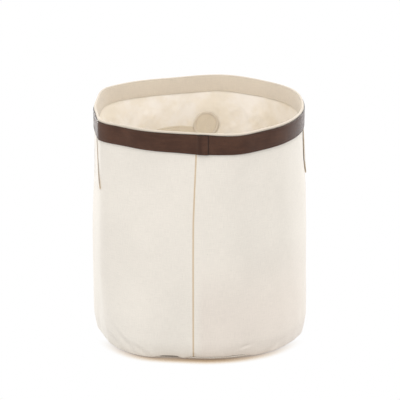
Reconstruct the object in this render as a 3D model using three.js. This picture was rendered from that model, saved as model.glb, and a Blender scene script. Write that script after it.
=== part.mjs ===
// Round fabric storage bin: a soft canvas tube with a round base, a lining, a canvas facing
// folded over the rim, a leather band sewn round the outside of the rim, and two strap loops
// that hang from under the band. Millimetres, +Z up. The origin is the middle of the underside.
//
// Every piece is laid out round the wall by three numbers: the azimuth in degrees, measured from
// the front (-Y) towards +X, the offset outwards from the canvas's outer face, and the height.
import * as THREE from 'three';

// Driving dimensions
const RIM_HEIGHT = 438;
const NOMINAL_RADIUS = 200; // offsets are measured as if the wall were a circle of this radius
const RIM_RADIUS = 196.5; // the rim without its corners and flats
const WAIST_RADIUS = 203.5; // the soft wall bulges a little below the band
const WAIST_HEIGHT = 180;
const BAND_HEIGHT = 35.5;
const BAND_TOP = 434;
const FACING_DEPTH = 32.5;
const HANDLE_WIDTH = 45;
const HANDLE_DROP = 94;

// Cloth, leather and board thicknesses, and the air left between two layers
const CANVAS = 0.9;
const INTERLINING = 0.6;
const LINING = 0.5;
const LEATHER = 1.6;
const STRAP = 0.9;
const BOARD = 2.4;
const PATCH = 0.7;
const THREAD = 0.7;
const GAP = 0.4;
const WALL_GAP = 1.1; // wider between the tall layers, whose facets cross each other's diagonals
const LOOP_GAP = 1; // a hanging loop isn't pressed against the wall

// Offsets of each layer's outer and inner face
const WALL_INNER = -CANVAS;
const INTERLINING_OUTER = WALL_INNER - WALL_GAP;
const INTERLINING_INNER = INTERLINING_OUTER - INTERLINING;
const LINING_OUTER = INTERLINING_INNER - WALL_GAP;
const LINING_INNER = LINING_OUTER - LINING;
const FACING_INSIDE_OUTER = LINING_INNER - GAP;
const FACING_INSIDE_INNER = FACING_INSIDE_OUTER - CANVAS;
const TURNOVER_INNER = GAP;
const TURNOVER_OUTER = TURNOVER_INNER + CANVAS;
const BAND_INNER = TURNOVER_OUTER + GAP;
const BAND_OUTER = BAND_INNER + LEATHER;
const PATCH_CLEARANCE = 1; // the patches' facets don't fall on the lining's
const PATCH_OUTER = LINING_INNER - PATCH_CLEARANCE;
const ROUND_PATCH_OUTER = PATCH_OUTER - PATCH - GAP;

// Heights
const FOOT_HEIGHT = 40; // the wall tucks in below this
const FOOT_TUCK = 7;
const RIM_LEVEL = 392; // the outline no longer changes above this
const BASE_LIP = 5.6; // the base's edge turns up to meet the wall
const BASE_CANVAS_TOP = 1.2;
const BOARD_BOTTOM = BASE_CANVAS_TOP + GAP;
const BOARD_TOP = BOARD_BOTTOM + BOARD;
const BASE_LINING_BOTTOM = BOARD_TOP + GAP;
const BASE_LINING_TOP = BASE_LINING_BOTTOM + LINING;
const WALL_BOTTOM = BASE_LIP + GAP;
const WALL_TOP = RIM_HEIGHT - CANVAS - GAP;
const FACING_BOTTOM = RIM_HEIGHT - FACING_DEPTH;
const INTERLINING_BOTTOM = 28;
const INTERLINING_TOP = FACING_BOTTOM - 10; // out of the thick seams of the rim
const LINING_TOP = WALL_TOP - 6;
const TURNOVER_BOTTOM = 426;
const BAND_BOTTOM = BAND_TOP - BAND_HEIGHT;
const ROOT_TOP = TURNOVER_BOTTOM - 1.4; // the strap's end butts against the facing's cut edge
const WALL_LEVELS = [14, 28, 50, 95, 150, 210, 270, 330, RIM_LEVEL]; // where a tall section has a point

// Plan positions, in degrees of azimuth
const ROUND_STEPS = 60;
const STATION = 360 / ROUND_STEPS;
const SEAM_TOP_AZIMUTH = -1.3;
const SEAM_FOOT_AZIMUTH = -3.1;
const SEAM_SETTLES_AT = 250; // the seam leans above this height and drops straight below it
const LAP_START = 0;
const LAP_END = 5;
const LAP_RAMP = 1.5;
const LEFT_HANDLE_AZIMUTH = -76;
const RIGHT_HANDLE_AZIMUTH = 94;
const LEFT_HANDLE_LEAN = 10; // how far the loop's lower end hangs towards the front
const RIGHT_HANDLE_LEAN = 0;
const BACK_PATCH = { azimuth: -164.5, top: 341, bottom: 200, halfWidth: 88, archRadius: 185 };
const ROUND_PATCH = { azimuth: 176, height: 340, radius: 26.5, seamInset: 6 };

// The soft outline: each corner (positive) or flat (negative) of the standing bin, with how far it
// pushes the wall out at the rim, the waist and the foot, in millimetres.
const OUTLINE_FEATURES = [
  { azimuth: -58, spread: 10, rim: 13, waist: 8, foot: 2 },
  { azimuth: -48, spread: 8, rim: 0, waist: 0, foot: 3 },
  { azimuth: -70, spread: 10, rim: 0, waist: 0, foot: -5 },
  { azimuth: -94, spread: 14, rim: -4.5, waist: -3, foot: -3.5 },
  { azimuth: -119, spread: 11, rim: 7.5, waist: 5, foot: 3 },
  { azimuth: -163, spread: 22, rim: -16.5, waist: -6, foot: -3 },
  { azimuth: -31, spread: 15, rim: -1, waist: 2, foot: 10 },
  { azimuth: -12, spread: 16, rim: -8.5, waist: -3, foot: -7 },
  { azimuth: 20, spread: 11, rim: 10.5, waist: 3, foot: 0 },
  { azimuth: 43, spread: 18, rim: 4.5, waist: 0, foot: 6 },
  { azimuth: 70, spread: 15, rim: 0, waist: 0, foot: 4.5 },
  { azimuth: 90, spread: 16, rim: -3, waist: -0.5, foot: 0 },
  { azimuth: 120, spread: 12, rim: 4, waist: 4, foot: 4 },
  { azimuth: 166, spread: 10, rim: 5.5, waist: 3, foot: 0 },
];

const DEGREES_PER_MM = 180 / (Math.PI * NOMINAL_RADIUS);

function angleBetween(azimuth, other) {
  return THREE.MathUtils.euclideanModulo(azimuth - other + 180, 360) - 180;
}

// Radius of the canvas's outer face at an azimuth and a height.
function outlineRadius(azimuth, height) {
  const level = Math.min(height, RIM_LEVEL);
  const towardsRim = THREE.MathUtils.smoothstep(level, WAIST_HEIGHT, RIM_LEVEL);
  const towardsFoot = 1 - THREE.MathUtils.smoothstep(level, 0, WAIST_HEIGHT);
  const tuck = FOOT_TUCK * Math.max(1 - level / FOOT_HEIGHT, 0) ** 2;
  let radius = THREE.MathUtils.lerp(WAIST_RADIUS, RIM_RADIUS, towardsRim) - tuck;
  for (const { azimuth: centre, spread, rim, waist, foot } of OUTLINE_FEATURES) {
    const push = waist + (rim - waist) * towardsRim + (foot - waist) * towardsFoot;
    radius += push * Math.exp(-((angleBetween(azimuth, centre) / spread) ** 2));
  }
  return radius;
}

// A point of the bin: layers keep their order because the offset is stretched with the outline.
function place(azimuth, offset, height) {
  const radius = (1 + offset / NOMINAL_RADIUS) * outlineRadius(azimuth, height);
  const angle = THREE.MathUtils.degToRad(azimuth);
  return new THREE.Vector3(radius * Math.sin(angle), -radius * Math.cos(angle), height);
}

function moveVertices(geometry, move) {
  const position = geometry.attributes.position;
  for (let i = 0; i < position.count; i += 1) {
    const moved = move(position.getX(i), position.getY(i), position.getZ(i));
    position.setXYZ(i, moved.x, moved.y, moved.z);
  }
  geometry.computeVertexNormals();
  return geometry;
}

// A closed ring or a dished disc: a profile of [offset, height] points turned round the bin.
// A point on the axis has an offset of minus the nominal radius.
function ring(profile) {
  const points = profile.map(([offset, height]) => new THREE.Vector2(NOMINAL_RADIUS + offset, height));
  const turned = new THREE.LatheGeometry(points, ROUND_STEPS).rotateX(Math.PI / 2);
  return moveVertices(turned, (x, y, z) => {
    const azimuth = THREE.MathUtils.radToDeg(Math.atan2(x, -y));
    return place(azimuth, Math.hypot(x, y) - NOMINAL_RADIUS, z);
  });
}

// A strip: a flat section of [offset, height], carried along the wall from one azimuth to another.
// lift pushes it outwards, for one where it passes over another piece, and lean shifts it sideways.
// Its steps fall on the same azimuths as every ring's, so that neighbouring layers stay parallel.
function strip(section, from, to, { lift = () => 0, lean = () => 0 } = {}) {
  const first = Math.floor(from / STATION);
  const last = Math.ceil(to / STATION);
  const swept = new THREE.ExtrudeGeometry(section, {
    depth: (last - first) * STATION,
    steps: last - first,
    bevelEnabled: false,
    curveSegments: 5,
  });
  return moveVertices(swept, (offset, height, along) => {
    const azimuth = THREE.MathUtils.clamp(last * STATION - along, from, to);
    return place(azimuth + lean(azimuth, height), offset + lift(azimuth, height), height);
  });
}

function sectionOf(points) {
  return new THREE.Shape(points.map(([offset, height]) => new THREE.Vector2(offset, height)));
}

function rectangle(inner, outer, bottom, top) {
  return [[outer, bottom], [outer, top], [inner, top], [inner, bottom]];
}

// The heights at which a tall layer has points, so that it follows the bulge.
function levelsBetween(bottom, top) {
  return [bottom, ...WALL_LEVELS.filter((level) => level > bottom && level < top), top];
}

// A tall layer that doesn't close on itself: a box with a point at each azimuth and level.
function sheet({ inner, outer, bottom, top, from, to }) {
  const levels = levelsBetween(bottom, top);
  const rows = levels.length - 1;
  const first = Math.floor(from / STATION);
  const columns = Math.ceil(to / STATION) - first;
  const flat = new THREE.BoxGeometry(columns, rows, 1, columns, rows, 1);
  return moveVertices(flat, (x, y, z) => {
    const azimuth = THREE.MathUtils.clamp((first + x + columns / 2) * STATION, from, to);
    const height = levels[Math.round(y + rows / 2)];
    return place(azimuth + seamLean(azimuth, height), z > 0 ? outer : inner, height);
  });
}

// The front seam isn't quite upright, and the cloth on either side of it follows.
function seamLean(azimuth, height) {
  const reach = 2 * STATION;
  const share = THREE.MathUtils.smoothstep(height, SEAM_SETTLES_AT, RIM_HEIGHT);
  const near = 1 - Math.min(Math.abs(angleBetween(azimuth, 0)) / reach, 1);
  return near * THREE.MathUtils.lerp(SEAM_FOOT_AZIMUTH, SEAM_TOP_AZIMUTH, share);
}

// The band stands out over the handles' sewn ends.
function rootBulge(azimuth) {
  const halfWidth = (HANDLE_WIDTH / 2) * DEGREES_PER_MM;
  const flat = halfWidth + 0.8 * STATION;
  const faded = flat + STATION;
  const height = 2 * STRAP + GAP + GAP - (BAND_INNER - GAP);
  let bulge = 0;
  for (const centre of [LEFT_HANDLE_AZIMUTH, RIGHT_HANDLE_AZIMUTH]) {
    const away = Math.abs(angleBetween(azimuth, centre));
    bulge += height * (1 - THREE.MathUtils.smoothstep(away, flat, faded));
  }
  return bulge;
}

// The band's last stretch climbs over its own first end.
function bandLift(azimuth) {
  const climb = THREE.MathUtils.smoothstep(azimuth, 360 + LAP_START - LAP_RAMP, 360 + LAP_START - 0.2);
  return rootBulge(azimuth) + climb * (LEATHER + GAP);
}

const canvas = new THREE.MeshStandardMaterial({ color: 0xe8dfd4, roughness: 0.92, metalness: 0 });
const facingCanvas = new THREE.MeshStandardMaterial({ color: 0xd8cab5, roughness: 0.92, metalness: 0 });
const liningCloth = new THREE.MeshStandardMaterial({ color: 0xeddfc6, roughness: 0.85, metalness: 0 });
const felt = new THREE.MeshStandardMaterial({ color: 0xf2efe8, roughness: 1, metalness: 0 });
const board = new THREE.MeshStandardMaterial({ color: 0xa89a86, roughness: 0.95, metalness: 0 });
const leather = new THREE.MeshStandardMaterial({ color: 0x543c30, roughness: 0.42, metalness: 0 });
const strapCanvas = new THREE.MeshStandardMaterial({ color: 0xe4dacb, roughness: 0.92, metalness: 0 });
const patchCloth = new THREE.MeshStandardMaterial({ color: 0xc9b8a0, roughness: 0.92, metalness: 0 });
const paleThread = new THREE.MeshStandardMaterial({ color: 0xcdbb9f, roughness: 0.8, metalness: 0 });
const brownThread = new THREE.MeshStandardMaterial({ color: 0x46301f, roughness: 0.7, metalness: 0 });

const bin = new THREE.Group();

function add(name, geometry, material) {
  const mesh = new THREE.Mesh(geometry, material);
  mesh.name = name;
  bin.add(mesh);
}

// Wall: one piece of canvas closed by the front seam, a soft interlining that stops short of the
// seam, and the lining. All three follow the same outline.
function addWall() {
  const halfSeam = 0.06;
  const shell = {
    inner: WALL_INNER, outer: 0, bottom: WALL_BOTTOM, top: WALL_TOP, from: halfSeam, to: 360 - halfSeam,
  };
  add('wall_panel', sheet(shell), canvas);

  const middle = {
    inner: INTERLINING_INNER,
    outer: INTERLINING_OUTER,
    bottom: INTERLINING_BOTTOM,
    top: INTERLINING_TOP,
    from: STATION,
    to: 360 - STATION,
  };
  add('wall_interlining', sheet(middle), felt);

  const up = levelsBetween(BASE_LINING_TOP + GAP, LINING_TOP);
  const outside = up.map((height) => [LINING_OUTER, height]);
  const inside = up.map((height) => [LINING_INNER, height]).reverse();
  add('wall_lining', ring([...outside, ...inside, outside[0]]), liningCloth);

  const halfThread = (THREAD / 2) * DEGREES_PER_MM;
  const thread = {
    inner: INTERLINING_OUTER - THREAD,
    outer: INTERLINING_OUTER,
    bottom: WALL_LEVELS[0],
    top: FACING_BOTTOM,
    from: -halfThread,
    to: halfThread,
  };
  add('wall_seam_thread', sheet(thread), paleThread);
}

// Base: a round canvas whose edge turns up to the wall, a stiff board and the lining's own round.
function addBase() {
  const axis = -NOMINAL_RADIUS;
  const dish = [
    [axis, 0], [-60, 0], [-5, 0], [-1.4, 1.6], [0, BASE_LIP],
    [-CANVAS, BASE_LIP], [-2.4, 2.3], [-5.4, BASE_CANVAS_TOP], [-60, BASE_CANVAS_TOP],
    [axis, BASE_CANVAS_TOP],
  ];
  add('base_panel', ring(dish), canvas);

  const boardEdge = -6.5;
  const boardProfile = [
    [axis, BOARD_BOTTOM], [boardEdge, BOARD_BOTTOM],
    [boardEdge, BOARD_TOP], [axis, BOARD_TOP],
  ];
  add('base_board', ring(boardProfile), board);

  const round = [
    [axis, BASE_LINING_BOTTOM], [LINING_OUTER, BASE_LINING_BOTTOM],
    [LINING_OUTER, BASE_LINING_TOP], [axis, BASE_LINING_TOP],
  ];
  add('base_lining', ring(round), liningCloth);

  const seam = rectangle(-CANVAS - GAP - THREAD, -CANVAS - GAP, BASE_LIP + GAP, BASE_LIP + GAP + THREAD);
  add('base_seam_thread', ring([...seam, seam[0]]), paleThread);
}

// Rim: the facing covers the lining's top edge, folds over the rim and is caught under the band.
function addFacing() {
  const foldRound = 1.1;
  const profile = [
    [TURNOVER_OUTER, TURNOVER_BOTTOM],
    [TURNOVER_OUTER, RIM_HEIGHT - foldRound],
    [TURNOVER_OUTER - foldRound, RIM_HEIGHT],
    [FACING_INSIDE_INNER + foldRound, RIM_HEIGHT],
    [FACING_INSIDE_INNER, RIM_HEIGHT - foldRound],
    [FACING_INSIDE_INNER, FACING_BOTTOM],
    [FACING_INSIDE_OUTER, FACING_BOTTOM],
    [FACING_INSIDE_OUTER, RIM_HEIGHT - CANVAS],
    [TURNOVER_INNER, RIM_HEIGHT - CANVAS],
    [TURNOVER_INNER, TURNOVER_BOTTOM],
  ];
  add('rim_facing', ring([...profile, profile[0]]), facingCanvas);

  const hemInset = 3.5;
  const hemHeight = FACING_BOTTOM + hemInset;
  const hemOuter = FACING_INSIDE_INNER - GAP;
  const hem = rectangle(hemOuter - THREAD, hemOuter, hemHeight, hemHeight + THREAD);
  add('facing_hem_thread', ring([...hem, hem[0]]), paleThread);
}

// Band: a leather strip that laps over its own end at the front, with a row of stitches along each
// edge and one down the lap.
function addBand() {
  const roundedEdge = 0.5;
  const section = [
    [BAND_OUTER - roundedEdge, BAND_BOTTOM], [BAND_OUTER, BAND_BOTTOM + roundedEdge],
    [BAND_OUTER, BAND_TOP - roundedEdge], [BAND_OUTER - roundedEdge, BAND_TOP],
    [BAND_INNER, BAND_TOP], [BAND_INNER, BAND_BOTTOM],
  ];
  const end = 360 + LAP_END;
  add('rim_band', strip(sectionOf(section), LAP_START, end, { lift: bandLift }), leather);

  const edgeToRow = 3.2;
  const threadInner = BAND_OUTER + GAP;
  const threadOuter = threadInner + THREAD;
  const rows = [
    ['band_lower_thread', BAND_BOTTOM + edgeToRow],
    ['band_upper_thread', BAND_TOP - edgeToRow - THREAD],
  ];
  for (const [name, height] of rows) {
    const row = sectionOf(rectangle(threadInner, threadOuter, height, height + THREAD));
    add(name, strip(row, LAP_END + 1, end - 1, { lift: bandLift }), brownThread);
  }

  const lapInset = 6;
  const lapRow = rectangle(threadInner, threadOuter, BAND_BOTTOM + lapInset, BAND_TOP - lapInset);
  const lapCentre = end - 0.7;
  const halfThread = (THREAD / 2) * DEGREES_PER_MM;
  const [from, to] = [lapCentre - halfThread, lapCentre + halfThread];
  add('band_lap_thread', strip(sectionOf(lapRow), from, to, { lift: bandLift }), brownThread);
}

// The side view of a hanging loop: two layers of strap, sewn together at the top and folded at the
// bottom, where the fold springs open a little.
function loopSection(top) {
  const inner = LOOP_GAP;
  const pressed = 0.4;
  const eye = 2.4;
  const bottom = top - HANDLE_DROP;
  const outerTop = inner + 2 * STRAP + pressed;
  const outerEye = inner + 2 * STRAP + eye;
  const swellTop = bottom + 36;
  const eyeLevel = bottom + 7;
  // The long sides have points on the way down, so that they follow the wall
  const stops = [14, 28, 43].map((depth) => top - depth);
  const lowStops = [58, 74].map((depth) => top - depth);

  const outline = new THREE.Shape();
  outline.moveTo(inner, top);
  for (const stop of [...stops, ...lowStops]) outline.lineTo(inner, stop);
  outline.lineTo(inner, bottom + 3);
  outline.quadraticCurveTo(inner, bottom, inner + 2.2, bottom);
  outline.quadraticCurveTo(outerEye, bottom, outerEye, eyeLevel);
  outline.quadraticCurveTo(outerEye, bottom + 22, outerTop, swellTop);
  for (const stop of stops.toReversed()) outline.lineTo(outerTop, stop);
  outline.lineTo(outerTop, top);
  outline.closePath();

  const sewn = 5;
  const gap = new THREE.Path();
  gap.moveTo(inner + STRAP, top - sewn);
  gap.lineTo(outerTop - STRAP, top - sewn);
  for (const stop of stops) gap.lineTo(outerTop - STRAP, stop);
  gap.lineTo(outerTop - STRAP, swellTop);
  gap.quadraticCurveTo(outerEye - STRAP, bottom + 22, outerEye - STRAP, eyeLevel);
  gap.quadraticCurveTo(outerEye - STRAP, bottom + STRAP, inner + 2.2, bottom + STRAP);
  gap.quadraticCurveTo(inner + STRAP, bottom + STRAP, inner + STRAP, bottom + 4);
  for (const stop of [...stops, ...lowStops].toReversed()) gap.lineTo(inner + STRAP, stop);
  gap.closePath();
  outline.holes.push(gap);
  return outline;
}

// Handle: the loop swings about the band's lower edge. Its sewn end stays put under the band, and
// a box of stitches goes through the band and the end.
function addHandle({ side, azimuth, lean }) {
  const halfWidth = (HANDLE_WIDTH / 2) * DEGREES_PER_MM;
  const loopTop = BAND_BOTTOM - GAP;
  const hang = { lean: (_, height) => (lean * (loopTop - height)) / HANDLE_DROP };
  const loop = strip(loopSection(loopTop), azimuth - halfWidth, azimuth + halfWidth, hang);
  add(`${side}_handle`, loop, strapCanvas);

  const root = sectionOf(rectangle(GAP, GAP + 2 * STRAP + GAP, BAND_BOTTOM, ROOT_TOP));
  add(`${side}_handle_root`, strip(root, azimuth - halfWidth, azimuth + halfWidth), strapCanvas);

  const inset = 3;
  const aboveEdgeRow = 6;
  const threadInner = BAND_OUTER + GAP;
  const bottom = BAND_BOTTOM + aboveEdgeRow;
  const top = ROOT_TOP - inset;
  const boxHalf = (HANDLE_WIDTH / 2 - inset) * DEGREES_PER_MM;
  for (const [end, height] of [['lower', bottom], ['upper', top]]) {
    const bar = sectionOf(rectangle(threadInner, threadInner + THREAD, height, height + THREAD));
    const row = strip(bar, azimuth - boxHalf, azimuth + boxHalf, { lift: bandLift });
    add(`${side}_handle_${end}_stitches`, row, brownThread);
  }
}

// Patches sewn to the lining at the back: a low arched one and a small round one that overlaps it.
// Lays a flat geometry on the wall: x runs round the bin, y runs up, and z points outwards.
function layOnWall(geometry, azimuth, outer, thickness) {
  const middle = outer - thickness / 2;
  return moveVertices(geometry, (x, y, z) => place(azimuth + x * DEGREES_PER_MM, middle + z, y));
}

function addPatches() {
  const { azimuth, top, bottom, halfWidth, archRadius } = BACK_PATCH;
  const blank = new THREE.BoxGeometry(2 * halfWidth, 1, PATCH, 14, 4, 1);
  const arched = moveVertices(blank, (x, y, z) => {
    const archTop = top - archRadius + Math.sqrt(archRadius ** 2 - x ** 2);
    return new THREE.Vector3(x, THREE.MathUtils.lerp(bottom, archTop, y + 0.5), z);
  });
  add('arched_patch', layOnWall(arched, azimuth, PATCH_OUTER, PATCH), patchCloth);

  const disc = new THREE.LatheGeometry(discProfile(ROUND_PATCH.radius, PATCH), 24).rotateX(Math.PI / 2);
  disc.translate(0, ROUND_PATCH.height, 0);
  add('round_patch', layOnWall(disc, ROUND_PATCH.azimuth, ROUND_PATCH_OUTER, PATCH), patchCloth);

  const ringRadius = ROUND_PATCH.radius - ROUND_PATCH.seamInset;
  const threadOuter = ROUND_PATCH_OUTER - PATCH - GAP;
  const loop = new THREE.TorusGeometry(ringRadius, THREAD / 2, 4, 24);
  loop.translate(0, ROUND_PATCH.height, 0);
  add('round_patch_thread', layOnWall(loop, ROUND_PATCH.azimuth, threadOuter, THREAD), paleThread);
}

// A disc of a given thickness, with rings of points that let it bend.
function discProfile(radius, thickness) {
  const shares = [0, 0.35, 0.7, 1];
  const half = thickness / 2;
  const below = shares.map((share) => new THREE.Vector2(share * radius, -half));
  const above = shares.map((share) => new THREE.Vector2(share * radius, half)).reverse();
  return [...below, ...above];
}

addWall();
addBase();
addFacing();
addBand();
addHandle({ side: 'left', azimuth: LEFT_HANDLE_AZIMUTH, lean: LEFT_HANDLE_LEAN });
addHandle({ side: 'right', azimuth: RIGHT_HANDLE_AZIMUTH, lean: RIGHT_HANDLE_LEAN });
addPatches();

export default bin;
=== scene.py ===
"""Looks of the fabric storage bin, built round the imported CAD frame. Metres, +Z up.

Everything is laid out as in the CAD: azimuth in degrees from the front (-Y) towards +X, offset
outwards from the canvas's outer face, and height. Cloth layers are thin closed shells.
"""

import math

import bmesh
import bpy
import numpy as np
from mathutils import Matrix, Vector


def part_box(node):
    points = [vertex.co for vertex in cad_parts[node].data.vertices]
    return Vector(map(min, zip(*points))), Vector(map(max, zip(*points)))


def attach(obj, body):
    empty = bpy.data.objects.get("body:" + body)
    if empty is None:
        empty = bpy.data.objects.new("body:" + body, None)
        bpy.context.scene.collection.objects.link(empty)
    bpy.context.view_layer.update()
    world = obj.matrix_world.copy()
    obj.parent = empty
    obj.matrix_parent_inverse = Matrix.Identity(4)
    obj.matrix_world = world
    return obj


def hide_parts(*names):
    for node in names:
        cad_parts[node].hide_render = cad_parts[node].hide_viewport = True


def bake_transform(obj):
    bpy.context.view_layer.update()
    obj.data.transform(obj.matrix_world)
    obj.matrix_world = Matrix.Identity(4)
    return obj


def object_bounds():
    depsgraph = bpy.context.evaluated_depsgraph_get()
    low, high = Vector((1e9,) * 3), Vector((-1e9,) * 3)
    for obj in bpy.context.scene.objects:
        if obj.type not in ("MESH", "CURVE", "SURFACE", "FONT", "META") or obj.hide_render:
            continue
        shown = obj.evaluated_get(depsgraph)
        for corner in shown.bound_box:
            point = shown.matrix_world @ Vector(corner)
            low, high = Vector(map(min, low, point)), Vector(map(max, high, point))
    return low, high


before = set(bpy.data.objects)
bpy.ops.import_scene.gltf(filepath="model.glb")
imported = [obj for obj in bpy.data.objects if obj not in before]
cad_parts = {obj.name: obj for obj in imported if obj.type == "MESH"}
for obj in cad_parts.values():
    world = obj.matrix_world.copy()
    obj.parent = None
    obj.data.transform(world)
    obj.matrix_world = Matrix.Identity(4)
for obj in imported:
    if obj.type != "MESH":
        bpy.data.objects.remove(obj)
cad_low, cad_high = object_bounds()

MM = 0.001
STATION = 6.0  # degrees between the CAD wall's points
NOMINAL_RADIUS = 200 * MM
MM_PER_DEGREE = NOMINAL_RADIUS / MM * math.pi / 180

# Thicknesses, and offsets of each layer's middle from the canvas's outer face
CANVAS = 0.9 * MM
INTERLINING = 0.6 * MM
LINING = 0.5 * MM
LEATHER = 1.6 * MM
STRAP = 0.9 * MM
PATCH = 0.7 * MM
THREAD = 0.55 * MM
WALL_MIDDLE = -CANVAS / 2
INTERLINING_MIDDLE = -2.3 * MM
LINING_MIDDLE = -3.95 * MM
PATCH_MIDDLE = -5.5 * MM
ROUND_PATCH_MIDDLE = -6.7 * MM
FACING_INSIDE = -5.05 * MM
PINCH = 2.9 * MM  # how far the lining and the facing's inside are pressed outwards at the rim
FACING_OUTSIDE = 0.85 * MM
BAND_MIDDLE = 2.25 * MM
STRAP_INNER = 0.55 * MM
STRAP_OUTER = 1.48 * MM
STRAP_PRESSED = 0.2 * MM  # how far the strap's layers are pressed in under the band
AXIS = -NOMINAL_RADIUS  # the offset of a point on the bin's axis


# ---------------------------------------------------------------- reading the frame

def cad_points(node):
    """The vertices of a CAD node."""
    return np.array([v.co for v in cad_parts[node].data.vertices])


def levels(node):
    """The lowest and highest height of a CAD node."""
    return [corner.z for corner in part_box(node)]


def azimuth_of(points):
    """Azimuth of each point, in degrees."""
    return np.degrees(np.arctan2(points[:, 0], -points[:, 1]))


def turn(azimuth, other):
    """The signed angle from other to azimuth, in degrees."""
    return (azimuth - other + 180) % 360 - 180


def middle_azimuth(points):
    """The azimuth of the middle of some points."""
    return float(azimuth_of(points.mean(axis=0, keepdims=True))[0])


def smoothstep(value, low, high):
    """0 at low, 1 at high and smooth between them. low may be the larger."""
    share = np.clip((value - low) / (high - low), 0, 1)
    return share * share * (3 - 2 * share)


def bell(distance, width):
    """1 at no distance, falling off smoothly over the width."""
    return np.exp(-((distance / width) ** 2))


class Outline:
    """The canvas's outer face, through the points of the CAD wall and smooth between them."""

    def __init__(self, points):
        azimuth = azimuth_of(points) % 360
        radius = np.hypot(points[:, 0], points[:, 1])
        height = points[:, 2].round(4)
        self.levels = np.unique(height)
        rows = [self.stations(azimuth, radius, height == level) for level in self.levels]
        self.rows = np.array(rows)
        self.slopes = np.gradient(self.rows, self.levels, axis=0)

    @staticmethod
    def stations(azimuth, radius, chosen):
        """The outer radius at every station, from the chosen points."""
        around = azimuth[chosen].round(2)
        known = np.unique(around)
        outer = [radius[chosen][around == a].max() for a in known]
        return np.interp(np.arange(0, 360, STATION), known, outer, period=360)

    def radius(self, azimuth, height):
        """A Catmull-Rom curve round the bin and a Hermite curve up it."""
        step = azimuth / STATION
        first = np.floor(step).astype(int)
        t = step - first
        weights = (
            (-t**3 + 2 * t**2 - t) / 2,
            (3 * t**3 - 5 * t**2 + 2) / 2,
            (-3 * t**3 + 4 * t**2 + t) / 2,
            (t**3 - t**2) / 2,
        )
        columns = [(first + k - 1) % self.rows.shape[1] for k in range(4)]

        def around(table, level):
            return sum(w * table[level, c] for w, c in zip(weights, columns))

        level = np.clip(np.searchsorted(self.levels, height) - 1, 0, len(self.levels) - 2)
        gap = self.levels[level + 1] - self.levels[level]
        s = np.clip((height - self.levels[level]) / gap, 0, 1)
        low_slope = around(self.slopes, level)
        smooth = (
            (1 + 2 * s) * (1 - s) ** 2 * around(self.rows, level)
            + s * (1 - s) ** 2 * gap * low_slope
            + s**2 * (3 - 2 * s) * around(self.rows, level + 1)
            + s**2 * (s - 1) * gap * around(self.slopes, level + 1)
        )
        return smooth + np.minimum(height - self.levels[0], 0) * low_slope


outline = Outline(cad_points("wall_panel"))

# Sharp creases of the stiff rim: azimuth, how far each stands out, and its spread in degrees
RIM_CREASES = [(-59.5, 1.6 * MM, 3.5), (21.0, 0.5 * MM, 3.0), (79.0, 0.8 * MM, 2.5), (-120.0, 0.8 * MM, 4.0)]
CREASE_BOTTOM = 330 * MM
CREASE_TOP = 395 * MM  # from here up a crease has its full depth


def rim_creases(azimuth, height):
    """The creases run down from the rim and die out in the wall."""
    total = 0
    for centre, stands, spread in RIM_CREASES:
        total = total + stands * np.maximum(np.exp(-abs(turn(azimuth, centre)) / spread) - 0.3, 0)
    return total * smoothstep(height, CREASE_BOTTOM, CREASE_TOP)


def place(azimuth, offset, height):
    """Points of the bin, from arrays of azimuth, offset and height."""
    radius = (1 + offset / NOMINAL_RADIUS) * (outline.radius(azimuth, height) + rim_creases(azimuth, height))
    angle = np.radians(azimuth)
    return np.stack([radius * np.sin(angle), -radius * np.cos(angle), height + 0 * radius], axis=-1)


# Heights, from the CAD
FACING_BOTTOM, RIM = levels("rim_facing")
WALL_BOTTOM, WALL_TOP = levels("wall_panel")
BAND_BOTTOM, BAND_TOP = levels("rim_band")
PINCH_BOTTOM = FACING_BOTTOM - 12 * MM
TURNOVER_BOTTOM = 426 * MM
BASE_LIP = levels("base_panel")[1]
FLOOR_LINING = sum(levels("base_lining")) / 2

# The front seam leans a little; the cloth near it leans with it
seam_points = cad_points("wall_seam_thread")
seam_levels = np.unique(seam_points[:, 2].round(4))
seam_azimuths = [middle_azimuth(seam_points[abs(seam_points[:, 2] - z) < MM]) for z in seam_levels]
SEAM_REACH = 2 * STATION
LAP_START = 0.0
LAP_END = 5.0


def seam_lean(azimuth, height):
    """How far the cloth leans with the seam, in degrees."""
    near = 1 - np.minimum(abs(turn(azimuth, 0)) / SEAM_REACH, 1)
    return near * np.interp(height, seam_levels, seam_azimuths)


# ---------------------------------------------------------------- soft relief of the cloth

def ripples(seed, count, around, upwards):
    """A smooth random relief: count waves with whole wave numbers from the range around, and up to
    upwards radians per metre of height. Its size is about 1."""
    random = np.random.default_rng(seed)
    turns = random.integers(around[0], around[1] + 1, count)
    rises = random.uniform(-upwards, upwards, count)
    phases = random.uniform(0, 2 * math.pi, count)

    def relief(azimuth, height):
        angle = np.radians(azimuth)
        waves = [np.cos(n * angle + m * height + p) for n, m, p in zip(turns, rises, phases)]
        return sum(waves) / math.sqrt(count)

    return relief


def creases(seed, count, around, upwards):
    """A random relief of narrow ridges between flat facets, from 0 to about 1."""
    random = np.random.default_rng(seed)
    turns = random.integers(around[0], around[1] + 1, count)
    rises = random.uniform(-upwards, upwards, count)
    phases = random.uniform(0, 2 * math.pi, count)

    def relief(azimuth, height):
        angle = np.radians(azimuth)
        total = 0
        for n, m, p in zip(turns, rises, phases):
            wander = 0.5 * np.sin(3 * angle + 17 * height + p)
            total = total + (1 - abs(np.sin((n * angle + m * height + p) / 2 + wander))) ** 4
        return total / count**0.5

    return relief


broad_waves = ripples(seed=3, count=9, around=(3, 9), upwards=11)
fine_waves = ripples(seed=8, count=14, around=(14, 34), upwards=42)
foot_waves = ripples(seed=5, count=12, around=(18, 46), upwards=70)
lining_waves = ripples(seed=12, count=12, around=(6, 22), upwards=50)
lining_creases = creases(seed=21, count=9, around=(9, 30), upwards=95)

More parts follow.
